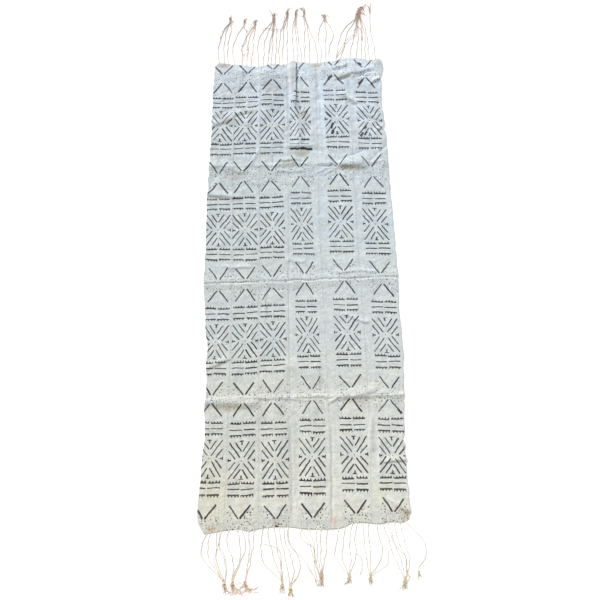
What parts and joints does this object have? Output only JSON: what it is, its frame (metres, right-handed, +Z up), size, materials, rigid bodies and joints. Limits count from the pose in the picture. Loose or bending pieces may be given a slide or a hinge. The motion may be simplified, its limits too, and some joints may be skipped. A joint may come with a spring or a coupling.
{
  "type": "fringed strip-woven cotton cloth",
  "caption": "Long narrow hand-painted cloth sewn from woven strips, lying flat with storage creases, one pleat and knotted fringe at both ends",
  "frame": {"origin": "On the floor, under the middle of the box round the cloth and its fringe", "axes": "+X across the strips, +Y along the strips to the end with the pleat, +Z up off the floor"},
  "size_m": [0.6839, 1.9821, 0.0083],
  "materials": {
    "cotton": "matt plain weave",
    "yarn": "matt spun yarn"
  },
  "bodies": {
    "root": {"strip_1": "cotton", "strip_2": "cotton", "strip_3": "cotton", "strip_4": "cotton", "strip_5": "cotton", "strip_6": "cotton", "fringe_top_1": "yarn", "fringe_top_2": "yarn", "fringe_top_3": "yarn", "fringe_top_4": "yarn", "fringe_top_5": "yarn", "fringe_top_6": "yarn", "fringe_bottom_1": "yarn", "fringe_bottom_2": "yarn", "fringe_bottom_3": "yarn", "fringe_bottom_4": "yarn", "fringe_bottom_5": "yarn", "fringe_bottom_6": "yarn"}
  },
  "joints": []
}
